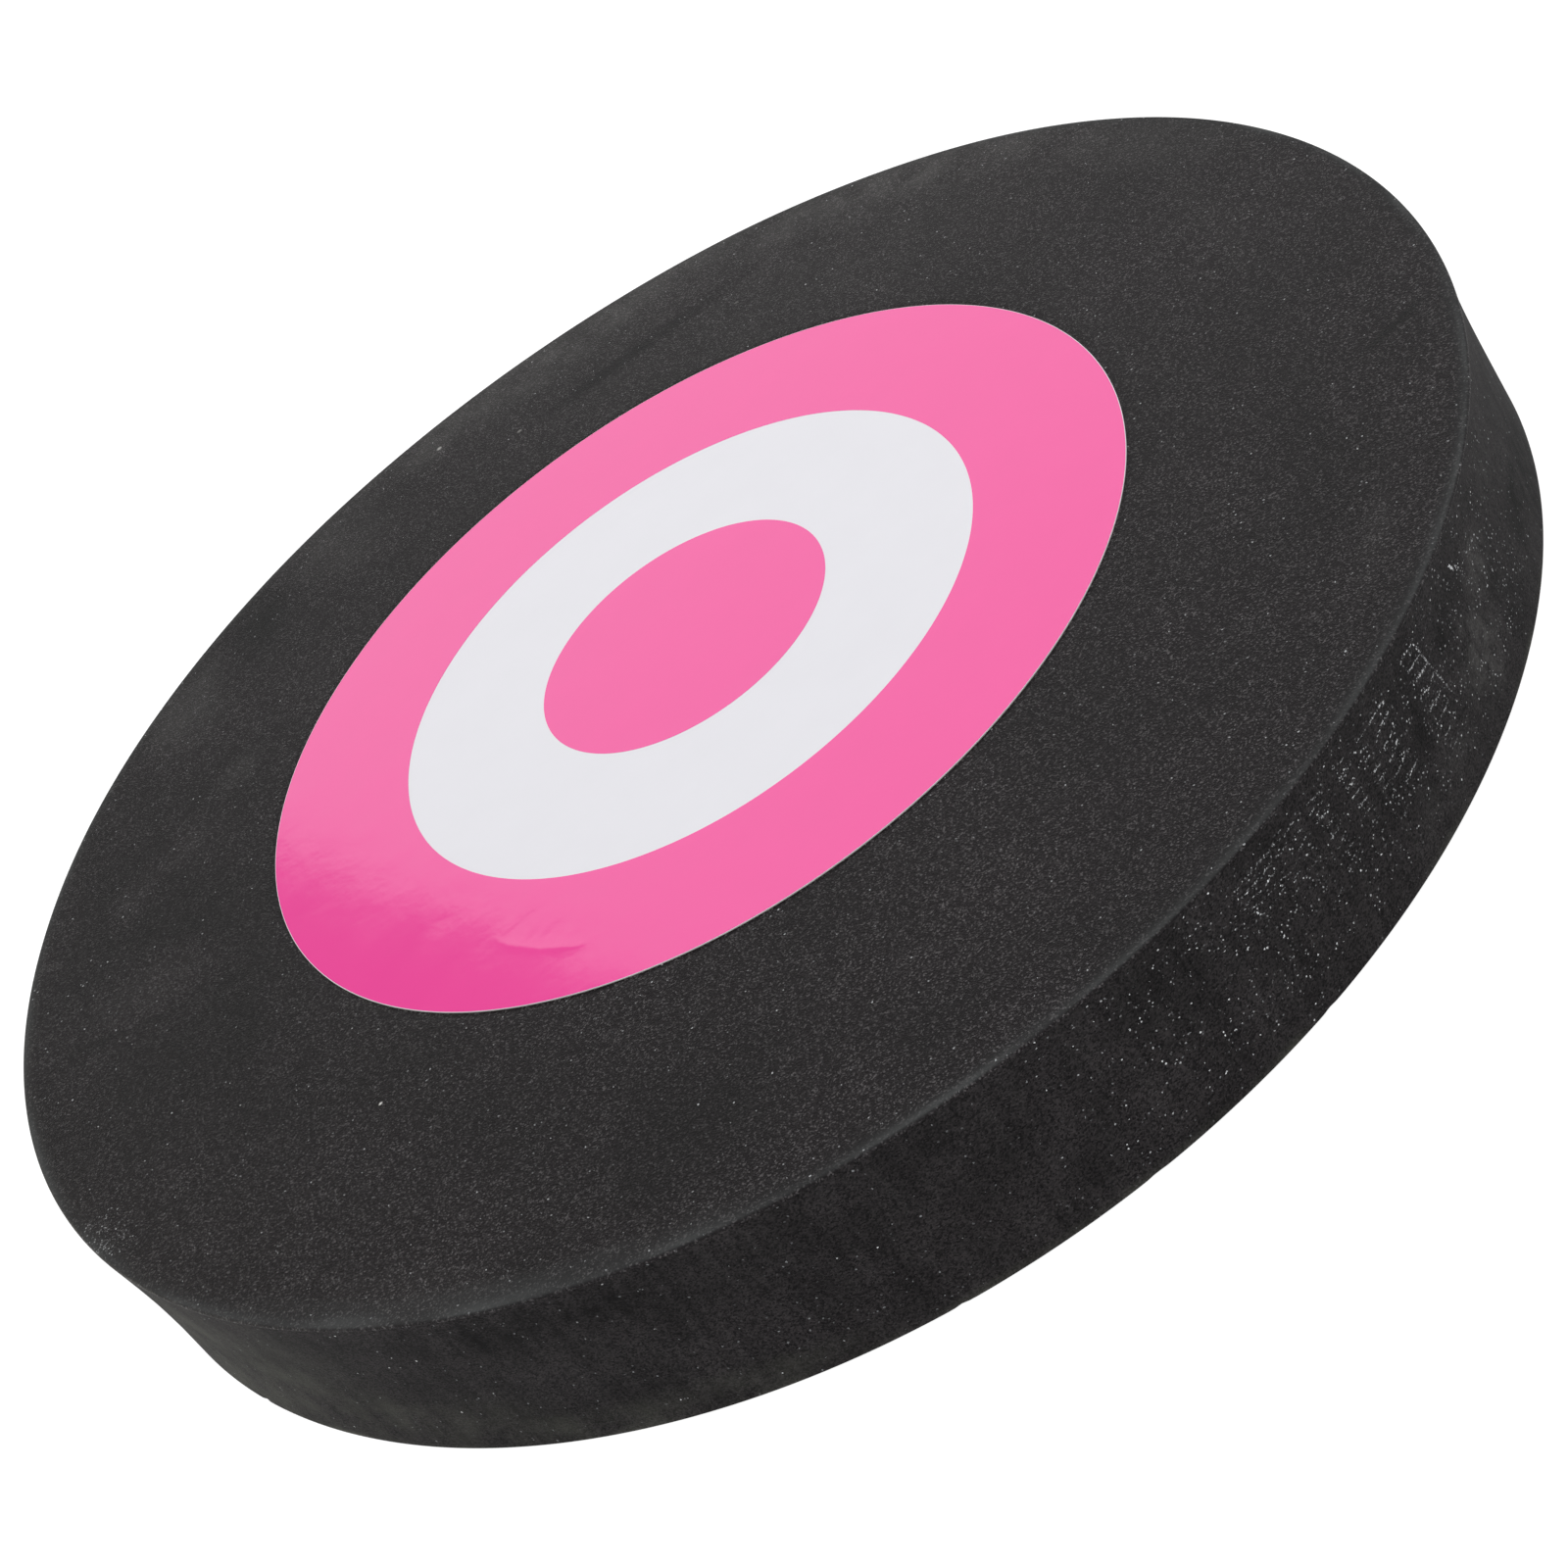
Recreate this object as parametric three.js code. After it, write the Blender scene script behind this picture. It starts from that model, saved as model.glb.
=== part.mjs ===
// Foam archery target boss: a die-cut slab of closed-cell foam with a round printed sticker.
// Millimetres. It lies on its back with the face up, +Z out of the face, and the origin is the
// centre of its back.

import * as THREE from 'three';

// Foam disc
const discDiameter = 248.5; // sold as 250
const discThickness = 29.5; // sold as 30
const faceEdgeRadius = 0.8; // the cutter rolls the skin over a little where it goes in
const backEdgeRadius = 0.5; // and leaves a crisper edge where it comes out
const backInset = 0.7; // foam bulges ahead of the cutter, so the back comes out smaller
const waistDepth = 0.6; // the cut wall springs back between the two faces
const edgeSteps = 4;
const waistSteps = 8;
const discSides = 144;

// Sticker: white film on an adhesive coat, printed with a ring and a bullseye
const bullseyeDiameter = 50;
const whiteBandWidth = 25; // bare film between the two prints
const printedBandWidth = 24.9;
const printMargin = 0.1; // white that the sticker's cutter leaves round the print
const adhesiveThickness = 0.05;
const filmThickness = 0.12;
const inkThickness = 0.03;
const stickerShiftX = 0.3; // laid on by hand, a little off the disc's centre
const stickerShiftY = 5.8;
const stickerSides = 128;

const foam = new THREE.MeshStandardMaterial({ color: 0x333436, roughness: 0.95, metalness: 0 });
const adhesive = new THREE.MeshStandardMaterial({ color: 0xd9d4c4, roughness: 0.5, metalness: 0 });
const film = new THREE.MeshStandardMaterial({ color: 0xf0f0f3, roughness: 0.22, metalness: 0 });
const ink = new THREE.MeshStandardMaterial({ color: 0xf0479b, roughness: 0.22, metalness: 0 });

// Half of the disc's section, from the middle of the back round the edge to the middle of the face.
function discSection() {
  const faceRadius = discDiameter / 2;
  const backRadius = faceRadius - backInset;
  const backCentre = backRadius - backEdgeRadius;
  const faceCentre = faceRadius - faceEdgeRadius;
  const wallTop = discThickness - faceEdgeRadius;
  const quarter = Math.PI / 2;
  const backEdge = new THREE.EllipseCurve(
    backCentre, backEdgeRadius, backEdgeRadius, backEdgeRadius, -quarter, 0);
  const faceEdge = new THREE.EllipseCurve(
    faceCentre, wallTop, faceEdgeRadius, faceEdgeRadius, 0, quarter);
  const wall = new THREE.QuadraticBezierCurve(
    new THREE.Vector2(backRadius, backEdgeRadius),
    new THREE.Vector2((backRadius + faceRadius) / 2 - 2 * waistDepth, (backEdgeRadius + wallTop) / 2),
    new THREE.Vector2(faceRadius, wallTop));
  return [
    new THREE.Vector2(0, 0),
    ...backEdge.getPoints(edgeSteps),
    ...wall.getPoints(waistSteps).slice(1, -1),
    ...faceEdge.getPoints(edgeSteps),
    new THREE.Vector2(0, discThickness),
  ];
}

function foamDisc() {
  const geometry = new THREE.LatheGeometry(discSection(), discSides);
  geometry.rotateX(Math.PI / 2);
  const mesh = new THREE.Mesh(geometry, foam);
  mesh.name = 'foam_disc';
  return mesh;
}

// One flat layer of the sticker, round and open in the middle where an inner diameter is given.
function stickerLayer(name, material, outerDiameter, innerDiameter, thickness, bottom) {
  const outline = new THREE.Shape();
  outline.absarc(0, 0, outerDiameter / 2, 0, 2 * Math.PI, false);
  if (innerDiameter > 0) {
    const opening = new THREE.Path();
    opening.absarc(0, 0, innerDiameter / 2, 0, 2 * Math.PI, true);
    outline.holes.push(opening);
  }
  const geometry = new THREE.ExtrudeGeometry(outline, {
    depth: thickness,
    bevelEnabled: false,
    curveSegments: stickerSides / 2, // a round outline takes two sides from each
  });
  const mesh = new THREE.Mesh(geometry, material);
  mesh.name = name;
  mesh.position.set(stickerShiftX, stickerShiftY, bottom);
  return mesh;
}

function sticker() {
  const filmBottom = discThickness + adhesiveThickness;
  const filmTop = filmBottom + filmThickness;
  const ringInside = bullseyeDiameter + 2 * whiteBandWidth;
  const ringOutside = ringInside + 2 * printedBandWidth;
  const stickerDiameter = ringOutside + 2 * printMargin;
  const group = new THREE.Group();
  group.add(
    stickerLayer('sticker_adhesive', adhesive, stickerDiameter, 0, adhesiveThickness, discThickness),
    stickerLayer('sticker_film', film, stickerDiameter, 0, filmThickness, filmBottom),
    stickerLayer('printed_outer_ring', ink, ringOutside, ringInside, inkThickness, filmTop),
    stickerLayer('printed_bullseye', ink, bullseyeDiameter, 0, inkThickness, filmTop),
  );
  return group;
}

const targetBoss = new THREE.Group();
targetBoss.add(foamDisc(), sticker());

export default targetBoss;
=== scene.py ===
# Foam archery target boss with a printed bullseye sticker, face up on a pale studio floor.
# The dictionaries are in millimetres and degrees, and turn to metres as meshes and nodes are made.

import bpy
import math
from mathutils import Matrix, Vector, noise


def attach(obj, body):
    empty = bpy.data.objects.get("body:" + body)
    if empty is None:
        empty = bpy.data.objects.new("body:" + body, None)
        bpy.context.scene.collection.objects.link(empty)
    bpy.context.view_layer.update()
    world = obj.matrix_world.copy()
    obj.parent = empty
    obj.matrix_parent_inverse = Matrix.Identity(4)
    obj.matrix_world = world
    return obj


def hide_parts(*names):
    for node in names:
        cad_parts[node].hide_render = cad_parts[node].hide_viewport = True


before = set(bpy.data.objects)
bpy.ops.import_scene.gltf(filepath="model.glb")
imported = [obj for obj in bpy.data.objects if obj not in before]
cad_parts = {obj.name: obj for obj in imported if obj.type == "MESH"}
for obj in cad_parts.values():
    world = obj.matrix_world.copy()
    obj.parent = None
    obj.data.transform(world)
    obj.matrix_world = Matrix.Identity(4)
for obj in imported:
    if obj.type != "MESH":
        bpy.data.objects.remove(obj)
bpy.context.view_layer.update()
scene = bpy.context.scene
mm = 0.001
print("boss: frame loaded,", len(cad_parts), "CAD nodes")


def linear(colour):
    # sRGB hex such as "2b2b2d" to the linear colour that a shader socket takes
    parts = [int(colour[i:i + 2], 16) / 255 for i in (0, 2, 4)]
    return [c / 12.92 if c <= 0.04045 else ((c + 0.055) / 1.055) ** 2.4 for c in parts] + [1.0]


def addNode(tree, kind, settings=None, links=None):
    # settings name a property or an input socket, by name or number; links join an input to an output
    node = tree.nodes.new(kind)
    for key, value in (settings or {}).items():
        if isinstance(key, str) and hasattr(node, key):
            setattr(node, key, value)
        else:
            node.inputs[key].default_value = value
    for key, source in (links or {}).items():
        tree.links.new(source, node.inputs[key])
    return node


def newMaterial(name):
    material = bpy.data.materials.new(name)
    material.use_nodes = True
    material.node_tree.nodes.clear()
    return material, material.node_tree


def finished(material, shader):
    addNode(material.node_tree, "ShaderNodeOutputMaterial", links={"Surface": shader.outputs[0]})
    return material


def smoothStep(low, high, value):
    share = min(1.0, max(0.0, (value - low) / (high - low)))
    return share * share * (3 - 2 * share)


def makePiece(name, points, faces, materials, faceMaterials=None, sharpOver=None):
    mesh = bpy.data.meshes.new(name)
    mesh.from_pydata([(x * mm, y * mm, z * mm) for x, y, z in points], [], faces)
    for material in materials:
        mesh.materials.append(material)
    if faceMaterials:
        mesh.polygons.foreach_set("material_index", faceMaterials)
    mesh.shade_smooth()
    if sharpOver:
        mesh.set_sharp_from_angle(angle=math.radians(sharpOver))
    mesh.update()
    piece = bpy.data.objects.new(name, mesh)
    scene.collection.objects.link(piece)
    return piece


def quads(a, b, sides):
    # between two rings of as many points, which begin at points a and b
    return [(a + i, b + i, b + (i + 1) % sides, a + (i + 1) % sides) for i in range(sides)]


def fan(centre, ring, sides, flip=False):
    # triangles between a point and a ring, flipped to face the other way
    pairs = [(ring + i, ring + (i + 1) % sides) for i in range(sides)]
    return [(centre, b, a) if flip else (centre, a, b) for a, b in pairs]


# The camera stands where the photograph was taken from, and is rolled as the picture is
camera = {
    "seat": (-0.79, -440.42, 281.75),
    "elevation": 32.547,
    "roll": 36.309,
    "lens": 77.07,
    "sensor": 36,
    "clipFrom": 10,
    "clipTo": 50000,
}

cameraData = bpy.data.cameras.new("camera")
cameraData.lens = camera["lens"]
cameraData.sensor_width = camera["sensor"]
cameraData.clip_start = camera["clipFrom"] * mm
cameraData.clip_end = camera["clipTo"] * mm
cameraObject = bpy.data.objects.new("camera", cameraData)
scene.collection.objects.link(cameraObject)
cameraObject.matrix_world = (
    Matrix.Translation([c * mm for c in camera["seat"]])
    @ Matrix.Rotation(math.radians(90 - camera["elevation"]), 4, "X")
    @ Matrix.Rotation(math.radians(-camera["roll"]), 4, "Z")
)
scene.camera = cameraObject

# Foam disc, as the die left it
disc = {
    "thickness": 29.5,
    "faceRadius": 124.25,
    "backRadius": 123.35,
    # the thin die isn't quite round: a crest count, its height and the direction of one crest
    "faceLobes": [(1, 0.16, -92), (2, 0.46, 1), (3, 0.21, 29), (4, 0.43, 39)],
    "backLobes": [(1, 0.15, 0), (4, 0.3, 5)],
    "faceRoll": 0.6,
    "backRoll": 0.5,
    "shoulder": 2.6,  # the face sinks a little towards the cut
    "shoulderDrop": 0.1,
    # the face is paler towards the edge, partly scuffed cells and partly a painted highlight where the
    # rounded edge catches the light: distance from it and how much
    "scuffsAndHighlight": [(5.2, 0.0), (4.2, 0.01), (3.4, 0.03), (2.6, 0.07), (2.0, 0.18), (1.5, 0.36),
               (1.05, 0.62), (0.7, 0.8)],
    "rollScuffsAndHighlight": (0.8, 0.5, 0.15, 0.0, 0.0),  # and down the rolled edge, which counts as one distance
    "rollGap": 0.5,
    "scuffAndHighlightLength": 11,  # the scuffs and the painted highlight come and go along the edge
    "scuffAndHighlightDepth": 3,
    "scuffAndHighlightChange": 0.7,
    "patternRadius": 124,  # patterns that go round the disc are measured here
    "paleBand": 0.3,  # and the face is paler in a band along its edge, between these directions
    "paleBandFrom": 224,
    "paleBandTo": 246,
    "paleBandSoft": 12,
    "paleBandInner": (5, 3.4),  # distances from the edge between which it fades in, and out again
    "paleBandOuter": (0.6, 1.6),
    "waist": 0.57,  # how far the wall springs in between the faces
    "waistPlace": 0.77,  # 1 puts the waist halfway down, less puts it nearer the face
    "waistShift": 0.24,  # and how much that changes round the disc
    "waistTowards": 197,
    "wave": 0.15,  # gentle rise and fall of the split face
    "waveLength": 45,
    "waveFrom": 60,  # the sticker holds the face flat up to here, and it is free from there
    "waveFree": 115,
    "backWave": 0.06,
    "backWaveLength": 40,
    "backWaveEdge": 0.1,  # share of the radius over which the back is flat towards its edge
    "chatter": 0.035,  # faint upright bands that the die leaves on the wall
    "chatterLength": 3.5,
    "chatterDrift": 1.4,  # how much they change from the face to the back
    "chatterFade": (0.15, 0.1),  # and over what share of the wall they fade at the face and the back
    "tear": 0.09,  # ridges that the torn cells stand up in
    "tearSides": (1.5, 0.7),  # where one ends and is full, in half widths of its column
    "tearFoot": 9,  # height over which they rise from the column's foot
    "tearTop": 1,  # how far over its column's top the first one may reach
    "tearSharpness": 3,
    "tearSpacing": 1,  # closer rungs raise no ridge
    "nickReach": 0.9,  # share of the way to the back where the nicks begin
    "nickSharpness": 3,
    "nickSpan": 2,  # a nick is nothing beyond this many of its widths
    "groove": 0.12,  # foam pressed down along the sticker's edge
    "grooveWidth": 0.7,
    "groovePlace": 0.5,  # its bottom, in widths from the sticker
    "grooveSharpness": 4,
}

# Nicks in the back edge: direction, width and depth
nicks = [(260, 1.4, 0.22), (273.7, 1.8, 0.16), (204, 1.1, 0.2), (288, 1.5, 0.14), (38, 1.6, 0.2),
         (96, 1.3, 0.18), (141, 1.8, 0.2)]

# Columns of torn cells on the wall, in rungs one under another: direction of the middle and half width
# in degrees, top, foot and spacing of the rungs, lean in degrees to each millimetre down, and strength
tornColumns = [
    (305.9, 0.9, 25.7, 5, 2.45, 0.022, 0.9),
    (301.2, 0.9, 25, 6, 2.35, 0.015, 0.8),
    (299.1, 0.45, 24.9, 6, 1.85, 0.02, 0.6),
    (296.9, 0.5, 25.4, 7, 1.9, 0.03, 0.7),
    (294.1, 0.55, 25.2, 9, 1.7, 0.04, 0.65),
    (291.9, 0.5, 25.1, 11, 1.8, 0.05, 0.55),
    (288.9, 2.1, 25.3, 14, 1.6, 0, 0.62),
    (284.3, 1.2, 25, 14, 1.5, 0, 0.2),
    (317.2, 0.8, 22, 14, 1.3, 0.06, 0.3),
    (314.1, 0.14, 23.2, 14, 0.7, 0.2, 0.8),
    (306.6, 0.07, 25.5, 9, 0.3, 0.11, 0.8),
    (313.55, 0.11, 24.1, 23, 0.3, 0.25, 20),
]

# Sticker
sticker = {
    "centre": (0.3, 5.8),
    "radius": 75,
    "bullseye": 25,
    "ringInside": 50,
    "ringOutside": 74.9,
    "adhesive": 0.05,
    "film": 0.12,
    "ink": 0.03,
    "creasePlace": (-41.5, -41.0),
    "creaseLength": 9.5,
    "creaseWidth": 1.1,
    "creaseHeight": 0.035,
    "creaseBow": -1.2,
    "creaseTowards": -53,
    "creaseEnds": (1.2, 0.5),  # it ends and is full at these shares of its length
    "creaseSpan": 12,  # and is nothing beyond this distance from its line
    "creaseSway": 0.25,
    "creaseSwayLength": 2.5,
    "rays": 0.6,  # height of the short rays off one side of it, against the crease's own
    "raySpacing": 1.6,
    "rayLength": 9,
    "rayPlace": 2.5,
    "rayFade": 2,
    "wave": 0.03,
    "sharpOver": 50,  # degrees, which keeps the layers' edges sharp
}

# Mesh: the face and the sticker's layers share their directions, which are finer at the crease, and
# the wall has its own, finer at the torn columns
grid = {
    "faceStep": 1,
    "creaseFrom": 217,
    "creaseTo": 240,
    "creaseStep": 0.25,
    "wallStep": 0.5,
    "tornFrom": 283,
    "tornTo": 309,
    "tornStep": 0.125,
    "wallRows": 56,
    "rollRows": 5,
    # rings on the face as far as the sticker reaches, besides those at the edges of its layers
    "faceRadii": [0.5, 4, 8, 12, 16, 19, 21.5, 23.5, 24.7, 25.3, 27, 30, 34, 38, 42, 46, 48.5, 49.7,
                  51, 52.2, 53.5, 69, 70.5, 72, 73.5, 74.6],
    "creaseRadius": 54,  # and closer ones from here on, across the crease
    "creaseGap": 0.4,
    "creaseRings": 36,
    # rings between the sticker's edge and the rim, and on the back, as shares of the way
    "outShares": (0.003, 0.008, 0.02, 0.05, 0.12, 0.22, 0.34, 0.46, 0.58, 0.7, 0.8, 0.88),
    "backShares": (0.985, 0.93, 0.85, 0.75, 0.6, 0.45, 0.3, 0.15, 0.05),
    "backStep": 2,
}

# Each pattern takes its own slice of the noise
noiseSlices = {"face": 3.1, "creaseSway": (0.5, 4.2), "creaseRays": 7.7, "back": 9.7}


def around(radius, turn, z=0.0):
    return radius * math.cos(turn), radius * math.sin(turn), z


def lobedRadius(mean, lobes, angle):
    return mean + sum(height * math.cos(count * (angle - math.radians(crest)))
                      for count, height, crest in lobes)


def wrapped(degrees):
    return (degrees + 180) % 360 - 180


def directions(step, fineFrom, fineTo, fineStep):
    # directions round the disc, step apart, and fineStep apart between fineFrom and fineTo
    found = []
    turn = 0.0
    while turn < 360 - step / 1000:
        found.append(math.radians(turn))
        turn += fineStep if fineFrom <= turn < fineTo else step
    return found


faceTurns = directions(grid["faceStep"], grid["creaseFrom"], grid["creaseTo"], grid["creaseStep"])
wallTurns = directions(grid["wallStep"], grid["tornFrom"], grid["tornTo"], grid["tornStep"])


def faceHeight(x, y):
    # the face rises and falls a little, less under the sticker, which holds it flat
    length = disc["waveLength"]
    outside = smoothStep(disc["waveFrom"], disc["waveFree"], math.hypot(x, y))
    size = sticker["wave"] + (disc["wave"] - sticker["wave"]) * outside
    height = disc["thickness"] + size * noise.noise((x / length, y / length, noiseSlices["face"]))
    # crease in the film: a sharp, slightly bowed ridge with short rays off one side
    cx, cy = sticker["creasePlace"]
    turn = math.radians(sticker["creaseTowards"])
    along = (x - cx) * math.cos(turn) + (y - cy) * math.sin(turn)
    across = -(x - cx) * math.sin(turn) + (y - cy) * math.cos(turn)
    reach = sticker["creaseLength"]
    outer, inner = sticker["creaseEnds"]
    if abs(along) < outer * reach and abs(across) < sticker["creaseSpan"]:
        across -= sticker["creaseBow"] * (1 - (along / reach) ** 2)
        sway = noise.noise((along / sticker["creaseSwayLength"], *noiseSlices["creaseSway"]))
        across += sticker["creaseSway"] * sway
        fade = smoothStep(outer * reach, inner * reach, abs(along))
        ridge = math.exp(-abs(across) / sticker["creaseWidth"])
        rays = noise.noise((along / sticker["raySpacing"], across / sticker["rayLength"],
                            noiseSlices["creaseRays"]))
        rays *= math.exp(-abs(across - sticker["rayPlace"]) / sticker["rayFade"])
        height += sticker["creaseHeight"] * fade * (ridge + sticker["rays"] * rays)
    return height


def tornRidges(degrees, height):
    ridges = 0
    for middle, half, top, foot, spacing, lean, strength in tornColumns:
        away = abs(wrapped(degrees - middle) - lean * (top - height)) / half
        inside = away < disc["tearSides"][0] and foot < height < top + disc["tearTop"]
        if inside and spacing > disc["tearSpacing"]:
            ridge = max(0, math.cos(2 * math.pi * (height - top) / spacing)) ** disc["tearSharpness"]
            fade = smoothStep(*disc["tearSides"], away) * smoothStep(foot, foot + disc["tearFoot"], height)
            ridges += strength * ridge * fade
    return ridges


def wallPoint(angle, share):
    # a point of the cut wall, share 0 at the face and 1 at the back
    thickness = disc["thickness"]
    face = lobedRadius(disc["faceRadius"], disc["faceLobes"], angle)
    back = lobedRadius(disc["backRadius"], disc["backLobes"], angle)
    place = disc["waistPlace"] + disc["waistShift"] * math.cos(angle - math.radians(disc["waistTowards"]))
    radius = face + (back - face) * share - disc["waist"] * math.sin(math.pi * share ** place)
    band = noise.noise(around(disc["patternRadius"] / disc["chatterLength"], angle,
                              share * disc["chatterDrift"]))
    atFace, atBack = disc["chatterFade"]
    middle = smoothStep(0, atFace, share) * smoothStep(0, atBack, 1 - share)
    radius += disc["chatter"] * band * middle
    radius += disc["tear"] * tornRidges(math.degrees(angle), thickness * (1 - share))
    for towards, width, depth in nicks:
        away = math.radians(wrapped(math.degrees(angle) - towards)) * disc["faceRadius"] / width
        if abs(away) < disc["nickSpan"]:
            notch = math.exp(-away * away * disc["nickSharpness"])
            radius -= depth * notch * smoothStep(disc["nickReach"], 1, share)
    return radius, thickness * (1 - share)


def scuffAndHighlightAt(scuffAndHighlight, gap, turn):
    # how scuffed the face is at a distance from its edge, with a painted highlight along the rounded edge,
    # which changes round the disc
    patchy = noise.noise(around(disc["patternRadius"] / disc["scuffAndHighlightLength"], turn,
                                gap / disc["scuffAndHighlightDepth"]))
    degrees = math.degrees(turn)
    paleBand = smoothStep(disc["paleBandFrom"] - disc["paleBandSoft"], disc["paleBandFrom"], degrees)
    paleBand *= smoothStep(disc["paleBandTo"] + disc["paleBandSoft"], disc["paleBandTo"], degrees)
    paleBand *= smoothStep(*disc["paleBandInner"], gap) * smoothStep(*disc["paleBandOuter"], gap)
    return max(0.0, scuffAndHighlight * (1 + disc["scuffAndHighlightChange"] * patchy) + disc["paleBand"] * paleBand * (1 + patchy))


def stickerPoint(radius, turn, level=0.0):
    # a point level above the foam's face, on a circle round the sticker's middle
    cx, cy = sticker["centre"]
    x, y = cx + radius * math.cos(turn), cy + radius * math.sin(turn)
    return x, y, faceHeight(x, y) + level


def faceRings():
    # rings of points from the middle of the face to the rim, their directions, and how scuffed each
    # point is, with the painted edge highlight, where any is
    rings = []
    cx, cy = sticker["centre"]
    edge = sticker["radius"]
    for radius in stickerRadii(0, edge)[1:]:
        rings.append(([stickerPoint(radius, turn) for turn in faceTurns], faceTurns, None))
    # out from the sticker's edge, with a pressed groove round it, then down the shoulder to the rim
    steps = [("out", share, 0) for share in grid["outShares"]]
    steps += [("in", gap, scuffAndHighlight) for gap, scuffAndHighlight in disc["scuffsAndHighlight"]]
    for kind, step, scuffAndHighlight in steps:
        ring, scuffsAndHighlight = [], []
        turns = faceTurns if kind == "out" else wallTurns
        for turn in turns:
            rim = lobedRadius(disc["faceRadius"], disc["faceLobes"], turn)
            share = step if kind == "out" else (rim - step - edge) / (rim - edge)
            x = (cx + edge * math.cos(turn)) * (1 - share) + rim * math.cos(turn) * share
            y = (cy + edge * math.sin(turn)) * (1 - share) + rim * math.sin(turn) * share
            fromBottom = share * (rim - edge) / disc["grooveWidth"] - disc["groovePlace"]
            groove = disc["groove"] * math.exp(-fromBottom ** 2 * disc["grooveSharpness"])
            fromRim = (1 - share) * (rim - edge)
            drop = disc["shoulderDrop"] * smoothStep(disc["shoulder"], disc["faceRoll"], fromRim)
            ring.append((x, y, faceHeight(x, y) - groove - drop))
            scuffsAndHighlight.append(scuffAndHighlightAt(scuffAndHighlight, fromRim, turn))
        rings.append((ring, turns, scuffsAndHighlight))
    return rings


def stickerRadii(inside, outside):
    # ring radii shared by the foam's face and every layer of the sticker, so that they fit each other
    marks = [0] + [sticker[name] for name in ("bullseye", "ringInside", "ringOutside", "radius")]
    marks += [grid["creaseRadius"] + grid["creaseGap"] * i for i in range(grid["creaseRings"])]
    return [mark for mark in sorted(marks + grid["faceRadii"]) if inside <= mark <= outside]


def buildDisc(faceMaterial, wallMaterial):
    # the face begins with a fan of triangles in the middle
    points, scuffedAndHighlit = [stickerPoint(0, 0)], [0.0]
    faces = fan(0, 1, len(faceTurns))
    kinds = [0] * len(faces)

    def joinRings(upper, lower, kind):
        # quads where both rings have the same directions, otherwise triangles taken in turn
        a, turnsA = upper
        b, turnsB = lower
        if turnsA is turnsB:
            faces.extend(quads(a, b, len(turnsA)))
            kinds.extend([kind] * len(turnsA))
            return
        endless = [list(turns) + [2 * math.pi] for turns in (turnsA, turnsB)]
        i = j = 0
        while i < len(turnsA) or j < len(turnsB):
            corner, other = a + i % len(turnsA), b + j % len(turnsB)
            if j == len(turnsB) or (i < len(turnsA) and endless[0][i + 1] <= endless[1][j + 1]):
                i += 1
                faces.append((corner, other, a + i % len(turnsA)))
            else:
                j += 1
                faces.append((corner, other, b + j % len(turnsB)))
            kinds.append(kind)

    def addRing(upper, ring, turns, kind, scuffsAndHighlight=None):
        lower = len(points), turns
        points.extend(ring)
        scuffedAndHighlit.extend(scuffsAndHighlight or [0.0] * len(ring))
        if upper:
            joinRings(upper, lower, kind)
        return lower

    last = None
    for ring, turns, scuffsAndHighlight in faceRings():
        last = addRing(last, ring, turns, 0, scuffsAndHighlight)

    # rolled face edge, waisted wall and crisper back edge
    roll, backRoll, thickness = disc["faceRoll"], disc["backRoll"], disc["thickness"]
    steps = grid["rollRows"]
    first, final = roll / thickness, 1 - backRoll / thickness
    for step in range(1, steps + 1):
        bend = math.pi / 2 * step / steps
        ring, scuffsAndHighlight = [], []
        for turn in wallTurns:
            wall, wallTop = wallPoint(turn, first)
            flat = lobedRadius(disc["faceRadius"], disc["faceLobes"], turn) - roll
            high = faceHeight(*around(flat, turn)[:2]) - disc["shoulderDrop"]
            radius = flat + (wall - flat) * math.sin(bend)
            z = wallTop + (high - wallTop) * math.cos(bend)
            ring.append(around(radius, turn, z))
            scuffsAndHighlight.append(scuffAndHighlightAt(disc["rollScuffsAndHighlight"][step - 1], disc["rollGap"], turn))
        last = addRing(last, ring, wallTurns, 0, scuffsAndHighlight)
    rows = grid["wallRows"]
    for row in range(1, rows + 1):
        ring = []
        for turn in wallTurns:
            radius, z = wallPoint(turn, first + (final - first) * row / rows)
            ring.append(around(radius, turn, z))
        last = addRing(last, ring, wallTurns, 1)
    for step in range(1, steps + 1):
        bend = math.pi / 2 * step / steps
        ring = []
        for turn in wallTurns:
            radius = wallPoint(turn, final)[0] - backRoll * (1 - math.cos(bend))
            ring.append(around(radius, turn, backRoll * (1 - math.sin(bend))))
        last = addRing(last, ring, wallTurns, 1)

    # back
    length = disc["backWaveLength"]
    backTurns = [math.radians(turn) for turn in range(0, 360, grid["backStep"])]
    for share in grid["backShares"]:
        ring = []
        for turn in backTurns:
            x, y, flat = around(share * (disc["backRadius"] - backRoll), turn)
            rise = 1 + noise.noise((x / length, y / length, noiseSlices["back"]))
            lift = disc["backWave"] * rise * smoothStep(0, disc["backWaveEdge"], 1 - share)
            ring.append((x, y, lift))
        last = addRing(last, ring, backTurns, 0)
    faces.extend(fan(len(points), last[0], len(backTurns), flip=True))
    kinds.extend([0] * len(backTurns))
    points.append((0, 0, disc["backWave"]))
    scuffedAndHighlit.append(0.0)
    piece = makePiece("eva_foam_disc", points, faces, [faceMaterial, wallMaterial], kinds)
    wear = piece.data.attributes.new("scuffedAndHighlit", "FLOAT", "POINT")
    wear.data.foreach_set("value", scuffedAndHighlit)
    return piece


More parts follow.
